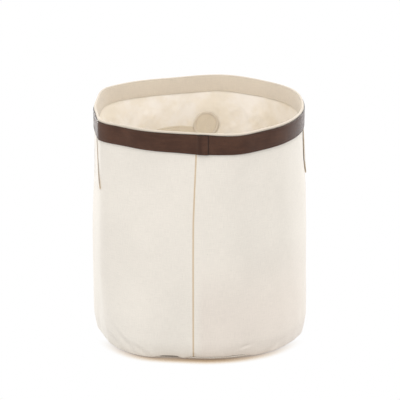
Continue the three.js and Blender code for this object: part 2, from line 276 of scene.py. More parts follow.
# Folds pressed into the wall: where each starts and ends as (azimuth, height in mm), its depth and
# its half width in mm.
FOLDS = [
    {"start": (-33, 4), "end": (-50, 46), "depth": 1.5, "width": 5},
    {"start": (-43, 6), "end": (-58, 30), "depth": 1.2, "width": 4},
    {"start": (-24, 3), "end": (-38, 26), "depth": 1.1, "width": 4},
    {"start": (21, 20), "end": (29, 27), "depth": 1.3, "width": 3},
    {"start": (38, 4), "end": (48, 22), "depth": 1.0, "width": 4},
    {"start": (118, 4), "end": (104, 40), "depth": 1.4, "width": 5},
    {"start": (161, 3), "end": (176, 34), "depth": 1.3, "width": 5},
    {"start": (-128, 4), "end": (-112, 38), "depth": 1.4, "width": 5},
]


def fold_relief(azimuth, height):
    """The pressed folds, each with a soft swelling beside it."""
    total = 0
    for fold in FOLDS:
        start, end = np.array(fold["start"], float), np.array(fold["end"], float)
        run = (end - start) * (MM_PER_DEGREE, 1)
        x = turn(azimuth, start[0]) * MM_PER_DEGREE
        y = height / MM - start[1]
        share = np.clip((x * run[0] + y * run[1]) / (run @ run), -0.2, 1.2)
        side = (x * run[1] - y * run[0]) / math.hypot(*run)
        away = np.hypot(x - share * run[0], y - share * run[1])
        fade = np.sin(np.pi * (share + 0.2) / 1.4) ** 2
        width = fold["width"]
        swelling = 0.5 * bell(side - 1.7 * width, width) * bell(away, 3 * width)
        total = total + fold["depth"] * MM * fade * (swelling - bell(away, width))
    return total


# How far the broad and fine waves and those at the foot stand out, in mm
BROAD, FINE, FOOT = 0.55, 0.13, 0.4

# A soft bulge on the wall's right: its azimuth and height in mm, its spreads, and how far it stands out
BULGE_AZIMUTH, BULGE_HEIGHT = 88, 285
BULGE_AROUND, BULGE_UPWARDS = 16, 38
BULGE = 2.0


def relief(azimuth, height):
    """How far the wall's layers stand out from the plain outline. It dies out under the band."""
    free = smoothstep(height, BAND_BOTTOM, BAND_BOTTOM - 45 * MM)
    foot = smoothstep(height, 75 * MM, 12 * MM)
    waves = BROAD * broad_waves(azimuth, height) + FINE * fine_waves(azimuth, height)
    bulge = bell(turn(azimuth, BULGE_AZIMUTH), BULGE_AROUND) * bell(height / MM - BULGE_HEIGHT, BULGE_UPWARDS)
    waves = waves + BULGE * bulge + FOOT * foot * foot_waves(azimuth, height)
    return free * MM * waves + fold_relief(azimuth, height)


def pinched(height):
    """How far the inner layers are pressed outwards near the rim."""
    return PINCH * smoothstep(height, PINCH_BOTTOM, RIM - 8 * MM)


def crinkle(azimuth, height):
    """How far the lining stands off inwards from the wall."""
    free = smoothstep(height, FACING_BOTTOM - 4 * MM, FACING_BOTTOM - 40 * MM)
    soft = 0.9 * (1 + np.tanh(lining_waves(azimuth, height)))
    return free * MM * (soft + 1.7 * lining_creases(azimuth, height))


# ---------------------------------------------------------------- building meshes

def new_piece(name, points, faces, uv, material):
    """A smooth-shaded object. uv is an array of (u, v) in metres for each corner of each face."""
    mesh = bpy.data.meshes.new(name)
    mesh.from_pydata(points.reshape(-1, 3).tolist(), [], faces.tolist())
    layer = mesh.uv_layers.new(name="cloth")
    layer.data.foreach_set("uv", np.asarray(uv, np.float32).ravel())
    mesh.shade_smooth()
    mesh.materials.append(material)
    piece = bpy.data.objects.new(name, mesh)
    bpy.context.scene.collection.objects.link(piece)
    return piece


def ribbon(path, thickness):
    """The two faces of a layer that follows a path of [offset, height], with rounded ends. The
    first face is on the path's right."""
    path = np.array(path, float)
    lengths = np.hypot(*np.diff(path, axis=0).T)
    along = np.concatenate([[0], np.cumsum(lengths)])
    ends = np.array([0, 0.07, 0.25, 0.5]) * thickness
    stops = np.unique(np.concatenate([along[1:-1], ends, along[-1] - ends]))
    middle = np.stack([np.interp(stops, along, path[:, k]) for k in (0, 1)], axis=1)
    direction = np.gradient(middle, stops, axis=0)
    direction /= np.linalg.norm(direction, axis=1, keepdims=True)
    right = np.stack([direction[:, 1], -direction[:, 0]], axis=1)
    from_end = np.clip(np.minimum(stops, along[-1] - stops) / (thickness / 2), 0, 1)
    half = thickness / 2 * np.sqrt(np.clip(1 - (1 - from_end) ** 2, 0.02, 1))
    return middle + half[:, None] * right, middle - half[:, None] * right


def sweep(name, columns, faces, material, shape=None, closed=True):
    """Carries a section round the bin. columns are azimuths, faces the two sides that ribbon makes,
    and shape moves the azimuths, offsets and heights."""
    outer, inner = faces
    section = np.vstack([outer, inner[::-1]])
    azimuth = np.repeat(np.asarray(columns, float)[:, None], len(section), axis=1)
    offset = np.repeat(section[None, :, 0], len(columns), axis=0)
    height = np.repeat(section[None, :, 1], len(columns), axis=0)
    if shape:
        azimuth, offset, height = shape(azimuth, offset, height)
    points = place(azimuth, offset, height)

    count, size = len(columns), len(section)
    along = np.concatenate([columns, [columns[0] + 360]]) * MM_PER_DEGREE * MM
    around = np.hypot(*np.diff(np.vstack([section, section[:1]]), axis=0).T)
    up = np.concatenate([[0], np.cumsum(around)])
    steps = count if closed else count - 1
    c, p = np.meshgrid(np.arange(steps), np.arange(size), indexing="ij")
    c2, p2 = (c + 1) % count, (p + 1) % size
    quads = [c * size + p, c2 * size + p, c2 * size + p2, c * size + p2]
    quads = np.stack(quads, axis=-1).reshape(-1, 4)
    uv = [along[c], up[p], along[c + 1], up[p], along[c + 1], up[p + 1], along[c], up[p + 1]]
    uv = np.stack(uv, axis=-1).reshape(-1, 2)
    if not closed:
        p = np.arange(len(outer) - 1)
        first = np.stack([p, p + 1, size - 2 - p, size - 1 - p], axis=-1)
        last = first[:, ::-1] + (count - 1) * size
        quads = np.vstack([quads, first, last])
        near, far = 0 * p, 0 * p + CANVAS
        caps = np.stack([near, up[p], near, up[p + 1], far, up[p + 1], far, up[p]], axis=-1).reshape(-1, 2)
        uv = np.vstack([uv, caps, caps])
    return new_piece(name, points, quads, uv, material)


def close_axis(piece):
    """Joins the points of a round piece that lie on the bin's axis."""
    mesh = bmesh.new()
    mesh.from_mesh(piece.data)
    bmesh.ops.remove_doubles(mesh, verts=mesh.verts, dist=1e-6)
    mesh.to_mesh(piece.data)
    mesh.free()
    piece.data.shade_smooth()


def columns_round(step, first=0.0, fine_at=(), fine=()):
    """Azimuths all round from first, closer together near each azimuth in fine_at."""
    columns = list(np.arange(first, first + 360, step))
    for centre in fine_at:
        columns = [a for a in columns if abs(turn(a, centre)) > max(fine)]
        columns += [(centre + sign * f - first) % 360 + first for f in fine for sign in (-1, 1)]
        columns.append((centre - first) % 360 + first)
    return np.unique(np.round(columns, 5))


def rows(bottom, top, step):
    """Heights from bottom to top, about a step apart."""
    return np.linspace(bottom, top, max(2, round((top - bottom) / step) + 1))


STITCH_RINGS = [(-1, 0.15), (-0.85, 0.75), (-0.45, 1), (0.45, 1), (0.85, 0.75), (1, 0.15)]
STITCH_SIDES = 8


def stitches(name, line, material, length=2.5 * MM, pitch=3.3 * MM, width=THREAD, facing=1, closed=False):
    """Separate stitches along a line of (azimuth, offset, height) arrays: each is a small rounded
    cord whose ends dip into the cloth. facing is 1 on the outside of the bin and -1 inside."""
    azimuth, offset, height = (np.asarray(x, float) + np.zeros(len(line[0])) for x in line)
    points = place(azimuth, offset, height)
    outwards = facing * (place(azimuth, offset + MM, height) - points)
    outwards /= np.linalg.norm(outwards, axis=1, keepdims=True)
    run = np.concatenate([[0], np.cumsum(np.linalg.norm(np.diff(points, axis=0), axis=1))])
    count = max(1, int(run[-1] / pitch))
    start = 0 if closed else (run[-1] - (count - 1) * pitch) / 2
    step = run[-1] / count if closed else pitch
    at = start + step * np.arange(count)

    def sample(values, where):
        return np.stack([np.interp(where, run, values[:, k]) for k in range(3)], axis=1)

    centre, out = sample(points, at), sample(outwards, at)
    ahead = sample(points, np.minimum(at + length / 2, run[-1]))
    behind = sample(points, np.maximum(at - length / 2, 0))
    along = ahead - behind
    along /= np.linalg.norm(along, axis=1, keepdims=True)
    across = np.cross(along, out)

    turns = np.arange(STITCH_SIDES) * 2 * math.pi / STITCH_SIDES
    local = []
    for reach, fat in STITCH_RINGS:
        dip = -0.75 * width * reach**4
        radius = fat * width / 2
        local += [(reach * length / 2, radius * math.cos(a), dip + radius * math.sin(a)) for a in turns]
    x, y, z = np.array(local).T
    cords = centre[:, None]
    for axis, distance in ((along, x), (across, y), (out, z)):
        cords = cords + axis[:, None] * distance[:, None]

    rings, sides = len(STITCH_RINGS), STITCH_SIDES
    faces = []
    for r in range(rings - 1):
        for s in range(sides):
            t = (s + 1) % sides
            faces.append([r * sides + s, r * sides + t, (r + 1) * sides + t, (r + 1) * sides + s])
    for r, order in ((0, -1), (rings - 1, 1)):
        ring = [r * sides + s for s in range(sides)][::order]
        faces += [[ring[0], ring[k], ring[k + 1], ring[k + 2]] for k in range(1, sides - 2, 2)]
    faces = np.array(faces)
    size = len(local)
    quads = (faces[None] + size * np.arange(count)[:, None, None]).reshape(-1, 4)
    corner = faces.ravel()
    uv = np.stack([x[corner], np.arctan2(z[corner], y[corner]) * width / 2], axis=-1)
    return new_piece(name, cords, quads, np.tile(uv, (count, 1)), material)


# ---------------------------------------------------------------- materials

class Nodes:
    """A node tree and the few steps that it is made of."""

    def __init__(self, tree):
        self.tree = tree

    def add(self, kind, inputs=None, **settings):
        """A node: inputs are numbers, colours or other nodes' outputs, by name or number."""
        node = self.tree.nodes.new("ShaderNode" + kind)
        for key, value in settings.items():
            setattr(node, key, value)
        for key, value in (inputs or {}).items():
            if isinstance(value, bpy.types.NodeSocket):
                self.tree.links.new(value, node.inputs[key])
            else:
                node.inputs[key].default_value = value
        return node

    def math(self, operation, *values):
        return self.add("Math", dict(enumerate(values)), operation=operation).outputs[0]

    def times(self, first, second):
        return self.math("MULTIPLY", first, second)

    def mix(self, share, first, second, blend="MIX"):
        inputs = {"Factor": share, 6: first, 7: second}
        return self.add("Mix", inputs, data_type="RGBA", blend_type=blend).outputs[2]

    def noise(self, where, scale, detail=3.0, rough=0.5):
        """Noise from 0 to 1 with features about 1 / scale metres across."""
        inputs = {"Vector": where, "Scale": scale, "Detail": detail, "Roughness": rough}
        return self.add("TexNoise", inputs).outputs["Fac"]

    def spread(self, value, low, high):
        """Stretches a value so that low becomes 0 and high becomes 1, smoothly."""
        inputs = {"Value": value, "From Min": low, "From Max": high}
        return self.add("MapRange", inputs, interpolation_type="SMOOTHSTEP").outputs["Result"]

    def ramp(self, value, low, high, at_low=0.0, at_high=1.0):
        """A straight run from at_low, where the value is low, to at_high."""
        inputs = {"Value": value, "From Min": low, "From Max": high, "To Min": at_low, "To Max": at_high}
        return self.add("MapRange", inputs).outputs["Result"]

    def split(self, vector):
        return self.add("SeparateXYZ", {0: vector}).outputs

    def space(self):
        return self.add("NewGeometry").outputs["Position"]


class Shader(Nodes):
    """A material of the object."""

    def __init__(self, name, roughness, sheen=0.0, specular=0.5):
        self.material = bpy.data.materials.new(name)
        self.material.use_nodes = True
        super().__init__(self.material.node_tree)
        self.surface = self.tree.nodes["Principled BSDF"]
        self.surface.inputs["Roughness"].default_value = roughness
        self.surface.inputs["Sheen Weight"].default_value = sheen
        self.surface.inputs["Specular IOR Level"].default_value = specular

    def colour(self, value):
        self.tree.links.new(value, self.surface.inputs["Base Color"])

    def roughness(self, value):
        self.tree.links.new(value, self.surface.inputs["Roughness"])

    def bump(self, height, depth, strength=1.0, under=None):
        """Bump of a height from 0 to 1, depth metres deep, over another bump if given."""
        inputs = {"Height": height, "Distance": depth, "Strength": strength}
        if under:
            inputs["Normal"] = under
        normal = self.add("Bump", inputs).outputs["Normal"]
        self.tree.links.new(normal, self.surface.inputs["Normal"])
        return normal

    def cloth_map(self):
        return self.add("UVMap", uv_map="cloth").outputs["UV"]

    def stretch(self, where, u, v):
        return self.add("Mapping", {"Vector": where, "Scale": (u, v, 1.0)}).outputs[0]

    def warped(self, where, scale, detail, reach):
        """A place on the cloth, moved about by noise by up to reach metres."""
        noise = self.add("TexNoise", {"Vector": where, "Scale": scale, "Detail": detail}).outputs["Color"]
        shift = self.add("VectorMath", {0: noise, "Scale": reach}, operation="SCALE").outputs[0]
        return self.add("VectorMath", {0: where, 1: shift}, operation="ADD").outputs[0]


def tint(colour, factor):
    """A colour made lighter or darker."""
    return (*[min(1.0, c * factor) for c in colour[:3]], 1.0)


def weave(shader, where, pitch):
    """Height of a plain weave, from 0 to 1: threads a pitch apart pass over and under in turn."""
    split = shader.split(where)
    u = shader.math("SINE", shader.times(split["X"], math.pi / pitch))
    v = shader.math("SINE", shader.times(split["Y"], math.pi / pitch))
    over = shader.times(u, v)
    warp_lift = shader.math("MULTIPLY_ADD", over, 0.3, 0.7)
    weft_lift = shader.math("MULTIPLY_ADD", over, -0.3, 0.7)
    warp = shader.times(shader.math("SQRT", shader.math("ABSOLUTE", u)), warp_lift)
    weft = shader.times(shader.math("SQRT", shader.math("ABSOLUTE", v)), weft_lift)
    return shader.math("MAXIMUM", warp, weft)


def shaded_side(shader, base, colour, across, upwards=None):
    """Darkens the cloth towards the bin's right, and if upwards is given only low on its front.

    This isn't wear or dye. It stands in for shading that the lights below don't give, so it stays
    with the material in any other light. Set both shade colours to white to take it out.
    """
    split = shader.split(shader.space())
    share = shader.spread(split["X"], *across)
    if upwards:
        share = shader.times(share, shader.spread(split["Z"], *upwards))
        front = shader.spread(split["Y"], 60 * MM, -120 * MM)
        share = shader.times(share, front)
    return shader.mix(share, base, colour, blend="MULTIPLY")


MOTTLE = 0.05  # how much lighter or darker than its colour a woven cloth gets
FLECKS = 0.06


def woven(name, colour, pitch=0.85 * MM, depth=0.16 * MM, shaded=False):
    """Woven cloth: a thread pitch apart and depth deep, with uneven threads, soft blotches and
    small flecks of seed."""
    shader = Shader(name, roughness=0.9, sheen=0.25, specular=0.2)
    where = shader.cloth_map()
    height = weave(shader, shader.warped(where, 90.0, 1.0, 0.7 * pitch), pitch)

    weft, warp = shader.stretch(where, 1.0, 14.0), shader.stretch(where, 14.0, 1.0)
    slubs = shader.math("ADD", shader.noise(weft, 60.0), shader.noise(warp, 60.0))
    blotches = shader.noise(shader.space(), 9.0, detail=4.0)
    seeds = shader.spread(shader.noise(where, 420.0, detail=1.0), 0.70, 0.78)

    share = shader.times(shader.math("ADD", slubs, blotches), 1 / 3)
    base = shader.mix(shader.spread(share, 0.35, 0.65), tint(colour, 1 - MOTTLE), tint(colour, 1 + MOTTLE))
    # Painted shade: darker where the weave is low, between the threads
    gap_shade = shader.times(shader.math("SUBTRACT", 1.0, height), 0.45)
    base = shader.mix(gap_shade, base, tint(colour, 0.6))
    if shaded:
        base = shaded_side(shader, base, WALL_SHADE, (-10 * MM, 10 * MM), (240 * MM, 60 * MM))
    shader.colour(shader.mix(shader.times(seeds, 5 * FLECKS), base, tint(colour, 0.55)))

    uneven = shader.math("MULTIPLY_ADD", slubs, 0.35, shader.times(height, 0.8))
    coarse = shader.bump(blotches, 2 * MM, strength=0.25)
    shader.bump(uneven, depth, strength=0.8, under=coarse)
    return shader.material


def coated(name, colour):
    """The lining: a thin close weave with a soft coating, creased and slightly blotchy."""
    shader = Shader(name, 0.62, sheen=0.1, specular=0.3)
    where = shader.cloth_map()
    height = weave(shader, where, 0.35 * MM)
    patches = shader.noise(shader.space(), 16.0, detail=5.0, rough=0.55)
    pale = tint(colour, 1.09)
    warm = (colour[0], colour[1] * 0.965, colour[2] * 0.885, 1.0)
    base = shader.mix(shader.spread(patches, 0.38, 0.62), warm, pale)
    base = shaded_side(shader, base, LINING_SHADE, (95 * MM, 165 * MM))
    fine = shader.noise(where, 160.0, detail=3.0)
    shader.colour(shader.mix(shader.times(fine, 0.2), base, tint(colour, 0.86)))
    crumple = shader.bump(shader.noise(where, 45.0, detail=4.0), 1.6 * MM, strength=0.5)
    shader.bump(height, 0.06 * MM, strength=0.5, under=crumple)
    shader.roughness(shader.math("MULTIPLY_ADD", patches, 0.25, 0.5))
    return shader.material


def lap_shade_line(shader):
    """Share of a soft dark line across the band, over the edge of its hidden end: painted shade where the
    band steps over that end.
    """
    split = shader.split(shader.space())
    left = shader.spread(split["X"], LINE_ACROSS - LINE_HALF, LINE_ACROSS)
    right = shader.spread(split["X"], LINE_ACROSS + LINE_HALF, LINE_ACROSS)
    front = shader.spread(split["Y"], 0.0, -50 * MM)
    return shader.times(shader.times(left, right), front)


def leather(name, colour, lighter):
    """Smooth finished leather: fine pebbled grain, pores, cloudy colour and lighter rubbed patches."""
    shader = Shader(name, 0.42, specular=0.2)
    where = shader.cloth_map()
    grain_at = shader.warped(where, 240.0, 2.0, 1.2 * MM)
    cells = shader.add("TexVoronoi", {"Vector": grain_at, "Scale": 950.0}, feature="DISTANCE_TO_EDGE")
    pebbles = shader.spread(cells.outputs["Distance"], 0.0, 0.22)
    clouds = shader.noise(shader.space(), 26.0, detail=4.0)
    fine = shader.noise(where, 700.0, detail=2.0)
    rubbed = shader.spread(shader.noise(shader.stretch(where, 1.0, 5.0), 30.0, detail=4.0), 0.45, 0.7)

    base = shader.mix(shader.spread(clouds, 0.32, 0.68), tint(colour, 0.85), lighter)
    base = shader.mix(shader.times(rubbed, 0.35), base, tint(lighter, 1.25))
    # Painted shade: darker in the grain's creases
    creased = shader.times(shader.math("SUBTRACT", 1.0, pebbles), 0.5)
    base = shader.mix(creased, base, tint(colour, 0.45))
    # Painted shade: a soft dark line over the edge of the band's hidden end
    shader.colour(shader.mix(lap_shade_line(shader), base, tint(colour, 0.66)))
    shader.roughness(shader.math("MULTIPLY_ADD", shader.math("ADD", rubbed, fine), 0.09, 0.13))
    broad = shader.bump(clouds, 1.2 * MM, strength=0.2)
    grain = shader.math("MULTIPLY_ADD", fine, 0.3, pebbles)
    shader.bump(grain, 0.1 * MM, strength=0.35, under=broad)
    return shader.material


def twisted(name, colour):
    """Twisted sewing thread."""
    shader = Shader(name, 0.7, sheen=0.2, specular=0.3)
    where = shader.cloth_map()
    inputs = {"Vector": where, "Scale": 900.0, "Distortion": 0.5}
    twist = shader.add("TexWave", inputs, bands_direction="DIAGONAL").outputs["Fac"]
    shader.colour(shader.mix(twist, tint(colour, 0.7), tint(colour, 1.15)))
    shader.bump(twist, 0.08 * MM, strength=0.7)
    return shader.material


def fibrous(name, colour, scale, depth):
    """Felt or pressed board: matted fibres."""
    shader = Shader(name, roughness=0.95, specular=0.2)
    where = shader.space()
    fibres = shader.noise(where, scale, detail=6.0, rough=0.7)
    blotches = shader.noise(where, scale / 30, detail=3.0)
    base = shader.mix(shader.spread(fibres, 0.3, 0.7), tint(colour, 0.8), tint(colour, 1.1))
    shader.colour(shader.mix(shader.times(blotches, 0.3), base, tint(colour, 0.85)))
    shader.bump(fibres, depth)
    return shader.material


CREAM = (0.86, 0.805, 0.725, 1)
# STRAP_LIT_CREAM is the wall's cream made paler: painted light, for the straps' bright look at the bin's
# sides
STRAP_LIT_CREAM = (0.87, 0.825, 0.76, 1)
TAN_CREAM = (0.74, 0.655, 0.545, 1)
LINING_YELLOW = (0.893, 0.846, 0.785, 1)
# Where the painted shade line over the band's hidden end lies across X, and its half width
LINE_ACROSS = 2 * MM
LINE_HALF = 7 * MM
WALL_SHADE = (0.962, 0.932, 0.925, 1)
LINING_SHADE = (0.88, 0.85, 0.80, 1)
BROWN = (0.074, 0.030, 0.0165, 1)
LIGHT_BROWN = (0.096, 0.042, 0.024, 1)
# EDGE_BROWN is the band's edge paint, and painted shade on the last stretch of the lap
EDGE_BROWN = (0.030, 0.015, 0.010, 1)

canvas_cloth = woven("cream_canvas", CREAM, shaded=True)
base_cloth = woven("base_canvas_cloth", CREAM)
strap_cloth = woven("strap_canvas", STRAP_LIT_CREAM, pitch=0.75 * MM)
facing_cloth = woven("facing_canvas", TAN_CREAM)
# The fold's crest cloth is the facing's cloth made darker: painted shade against the light that falls on the
# crest from above
crest_shade_cloth = woven("facing_crest", tint(TAN_CREAM, 0.87))
# Tan cloth of painted shade, for the shade in the seam's groove and along the straps' cut edges
shade_line_cloth = woven("shade_line_canvas", (0.70, 0.56, 0.40, 1), depth=0.12 * MM)
# The patches' darker cloth is painted shade: an appliqué on the wall's outside shows through the lining as
# shade
patch_shade_cloth = woven("patch_shade_cloth", (0.77, 0.68, 0.545, 1), pitch=0.6 * MM, depth=0.12 * MM)
lining_cloth = coated("lining_cloth", LINING_YELLOW)
brown_leather = leather("brown_leather", BROWN, LIGHT_BROWN)
edge_and_lap_shade_leather = leather("edge_and_lap_shade_leather", EDGE_BROWN, EDGE_BROWN)
pale_thread = twisted("pale_thread", (0.61, 0.50, 0.35, 1))
tan_thread = twisted("tan_thread", (0.60, 0.48, 0.34, 1))
brown_thread = twisted("brown_thread", (0.06, 0.032, 0.02, 1))
felt = fibrous("interlining_felt", (0.88, 0.86, 0.80, 1), scale=700.0, depth=0.3 * MM)
greyboard = fibrous("greyboard", (0.39, 0.32, 0.24, 1), scale=400.0, depth=0.15 * MM)


def finish_piece(piece, slot, *nodes):
    """Puts a piece on the bin and hides the CAD nodes that it stands for. slot is not used."""
    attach(piece, "bin")
    if nodes:
        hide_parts(*nodes)


def sew(name, line, thread, *nodes, **kind):
    """A row of stitches that stays on the bin."""
    slot = "brown_thread" if thread is brown_thread else "pale_thread"
    finish_piece(stitches(name, line, thread, **kind), slot, *nodes)


# ---------------------------------------------------------------- wall

SEAM_FINE = (0.1, 0.2, 0.3, 0.42, 0.6, 0.85, 1.2, 1.6, 2.1)
SEAM_SHADE_REACH = 0.42  # the tan painted shade of the seam's groove reaches this far each side of the seam, in degrees
wall_columns = columns_round(1.0, first=-180.0, fine_at=(0,), fine=SEAM_FINE)

# Where the base's edge shows under the wall at the front, and where the wall lifts beside it
LIP_SHOWS = (-5.0, 27.0)
LIFT_AZIMUTH = -16.0
LIFT_SPREAD = 7.0


def lifted(azimuth):
    """1 where the wall's foot is lifted off the base's edge."""
    return np.exp(-((turn(azimuth, LIFT_AZIMUTH) / LIFT_SPREAD) ** 4))


def covered(azimuth):
    """1 where the wall's foot sags over the base's edge, 0 where the edge shows."""
    middle = sum(LIP_SHOWS) / 2
    half = (LIP_SHOWS[1] - LIP_SHOWS[0]) / 2
    shown = 1 - smoothstep(abs(turn(azimuth, middle)), half - 3, half + 3)
    return np.clip(1 - shown - lifted(azimuth), 0, 1)


def seam_relief(azimuth, height):
    """The pressed seam: a narrow groove, the seam allowances raised on both sides of it, and a
    notch at the foot where the stitching stops."""
    x = turn(azimuth, 0) * MM_PER_DEGREE
    groove = -0.9 * bell(x, 1.5)
    allowance = 0.35 * (1 - smoothstep(abs(x), 5.5, 8.5)) + 0.25 * bell(x - 2.2, 1.3)
    notch_width = 1.2 + 2.6 * smoothstep(height, 18 * MM, WALL_BOTTOM)
    notch = -1.9 * smoothstep(height, 17 * MM, 8 * MM) * bell(x - 1.4, notch_width)
    return MM * (groove + allowance + notch)


def wall_shape(azimuth, offset, height):
    foot = smoothstep(height, 20 * MM, WALL_BOTTOM)
    sag = covered(azimuth) * foot
    offset = offset + relief(azimuth, height) + seam_relief(azimuth, height) + 1.2 * MM * sag
    return azimuth + seam_lean(azimuth, height), offset, height - 4.3 * MM * sag


def plain_wall_shape(azimuth, offset, height):
    return azimuth + seam_lean(azimuth, height), offset + relief(azimuth, height), height


def make_wall():
    heights = np.concatenate([rows(WALL_BOTTOM, 30 * MM, 2 * MM), rows(33.5 * MM, WALL_TOP, 3.5 * MM)])
    path = [(WALL_MIDDLE, z) for z in heights]
    wall = sweep("canvas_wall", wall_columns, ribbon(path, CANVAS), canvas_cloth, wall_shape)
    wall.data.materials.append(shade_line_cloth)
    size = len(wall.data.polygons) // len(wall_columns)
    for polygon in wall.data.polygons:
        column = wall_columns[polygon.index // size]
        # Painted shade: the faces in the seam's groove take the tan shade cloth
        polygon.material_index = int(-SEAM_SHADE_REACH <= column < SEAM_SHADE_REACH)
    finish_piece(wall, "canvas", "wall_panel")

    heights = np.arange(10 * MM, BAND_BOTTOM + 8 * MM, 4 * MM)
    seam = (0 * heights + seam_lean(0, heights), -0.75 * MM + 0 * heights, heights)
    seam = (seam[0], seam[1] + relief(0, heights), seam[2])
    sew("wall_seam_stitches", seam, tan_thread, "wall_seam_thread",
        length=3.4 * MM, pitch=4.1 * MM, width=0.8 * MM)

    low, high = levels("wall_interlining")
    path = [(INTERLINING_MIDDLE, z) for z in rows(low, high, 6 * MM)]
    columns = np.arange(STATION, 360 - STATION + 0.1, 2.0)
    layer = sweep("interlining", columns, ribbon(path, INTERLINING), felt, plain_wall_shape, closed=False)
    finish_piece(layer, "interlining", "wall_interlining")
    return wall


# ---------------------------------------------------------------- base

def base_shape(azimuth, offset, height):
    """The base's edge tucks in under the wall where the wall lifts beside the seam."""
    edge = smoothstep(offset, -9 * MM, -1 * MM)
    tucked = lifted(azimuth) * edge
    return azimuth, offset - 2.5 * MM * tucked, height * (1 - 0.45 * tucked)


BASE_CANVAS = 1.2 * MM


def make_base():
    bottom = BASE_CANVAS / 2
    lip = [(-6, 0.6), (-4.4, 0.8), (-3, 1.3), (-1.9, 2.1), (-1.1, 3.2), (-0.75, 4.4), (-0.7, 5.2)]
    path = [(AXIS, bottom)] + [(AXIS * share, bottom) for share in np.linspace(0.97, 0.06, 24)]
    path += [(offset * MM, height * MM) for offset, height in lip]
    faces = ribbon(path, BASE_CANVAS)
    panel = sweep("base_canvas", np.arange(0, 360, 2.0), faces, base_cloth, base_shape)
    close_axis(panel)
    finish_piece(panel, "canvas", "base_panel")

    around = np.arange(0, 361, 2.0)
    seam = (around, -1.9 * MM, BASE_LIP + 0.6 * MM)
    sew("base_seam_stitches", seam, pale_thread, "base_seam_thread", facing=-1, closed=True)
    return panel


# ---------------------------------------------------------------- lining

def patch_shape(azimuth, offset, height):
    """Follows the crinkled lining."""
    return azimuth, offset + relief(azimuth, height) - crinkle(azimuth, height), height


def lining_shape(azimuth, offset, height):
    return patch_shape(azimuth + seam_lean(azimuth, height), offset, height)


def floor_shape(azimuth, offset, height):
    """The loose cloth on the floor: low swells and creases that flatten at the edge."""
    angle = np.radians(azimuth)
    radius = 1 + offset / NOMINAL_RADIUS
    x, y = radius * np.sin(angle), -radius * np.cos(angle)
    inside = smoothstep(radius, 0.97, 0.8)
    swell = 1 + np.cos(5.1 * x + 2.2 * y + 1) * np.cos(1.7 * x - 6.3 * y)
    crease = (1 - abs(np.sin(4.2 * x + 2.9 * y + 0.6 * np.sin(5 * y)))) ** 8
    crease = crease + (1 - abs(np.sin(3.1 * y - 3.7 * x + 0.5 * np.sin(4 * x) + 1.3))) ** 8
    return azimuth, offset, height + inside * MM * (0.45 * swell + 0.9 * crease)


def make_lining():
    low, high = levels("wall_lining")
    path = [(LINING_MIDDLE + pinched(z), z) for z in rows(low, high, 3.5 * MM)]
    columns = np.arange(0, 360, 1.0)
    wall = sweep("lining_wall", columns, ribbon(path, LINING), lining_cloth, lining_shape)
    finish_piece(wall, "lining", "wall_lining")

    path = [(AXIS, FLOOR_LINING)] + [(AXIS * share, FLOOR_LINING) for share in np.linspace(0.98, 0.022, 50)]
    floor = sweep("lining_floor", np.arange(0, 360, 3.0), ribbon(path, LINING), lining_cloth, floor_shape)
    close_axis(floor)
    finish_piece(floor, "lining", "base_lining")
    return wall, floor


# ---------------------------------------------------------------- rim

ROLL_BULGE = 0.9 * MM  # the facing's fold swells out above the band
CROWN_RISE = 1.7 * MM
CREST_DEPTH = 2.4 * MM  # how deep the painted shade on the fold's crest reaches, against the light from above

facing_waves = ripples(seed=31, count=9, around=(5, 16), upwards=20)


def facing_shape(azimuth, offset, height):
    """The facing's lower edge stands off the lining a little, unevenly."""
    loose = smoothstep(height, RIM - 6 * MM, FACING_BOTTOM) * (offset < 0)
    wave = 0.5 * (1 + np.tanh(facing_waves(azimuth, height)))
    edge = smoothstep(height, FACING_BOTTOM + 8 * MM, FACING_BOTTOM)
    drop = 0.5 * MM * facing_waves(azimuth, 0) * smoothstep(height, RIM - 10 * MM, FACING_BOTTOM)
    crown = 0.25 * MM * facing_waves(azimuth, 0) * smoothstep(height, RIM - 6 * MM, RIM)
    return azimuth, offset - loose * MM * (0.9 * wave + 0.3 * edge), height + drop * (loose > 0) - crown


def make_facing():
    """Facing: up the outside under the band, over the pinched rim, and down inside to its stitched lower
    edge.
    """
    half = CANVAS / 2
    top = RIM - half
    outer, inner = FACING_OUTSIDE + ROLL_BULGE, FACING_INSIDE + pinched(RIM)
    round_out = (outer - inner) / 2
    crown = [((outer + inner) / 2 + round_out * math.cos(a), top - CROWN_RISE + CROWN_RISE * math.sin(a))
             for a in np.radians(np.arange(0, 181, 12))]
    outside = [(FACING_OUTSIDE + ROLL_BULGE * smoothstep(z, BAND_TOP - 0.3 * MM, BAND_TOP + 1.2 * MM), z)
               for z in rows(TURNOVER_BOTTOM, top - 2 * MM, MM)]
    inside = [(FACING_INSIDE + pinched(z), z) for z in rows(top - 2 * MM, FACING_BOTTOM + half, 2 * MM)]
    path = outside + crown + inside
    columns = np.arange(0, 360, 1.0)
    facing = sweep("rim_facing_cloth", columns, ribbon(path, CANVAS), facing_cloth, facing_shape)
    facing.data.materials.append(crest_shade_cloth)
    # Painted shade: polygons along the fold's crest take the darker crest cloth
    for polygon in facing.data.polygons:
        polygon.material_index = int(polygon.center.z > RIM - CREST_DEPTH)
    finish_piece(facing, "facing", "rim_facing")

    around = np.arange(0, 360.5, 0.5)
    height = FACING_BOTTOM + 3.8 * MM
    surface = FACING_INSIDE + pinched(height) - half
    _, offset, height = facing_shape(around, surface + 0 * around, height + 0 * around)
    line = (around, offset - 0.1 * MM, height)
    sew("facing_hem_stitches", line, pale_thread, "facing_hem_thread", facing=-1, closed=True)
    return facing


# ---------------------------------------------------------------- band

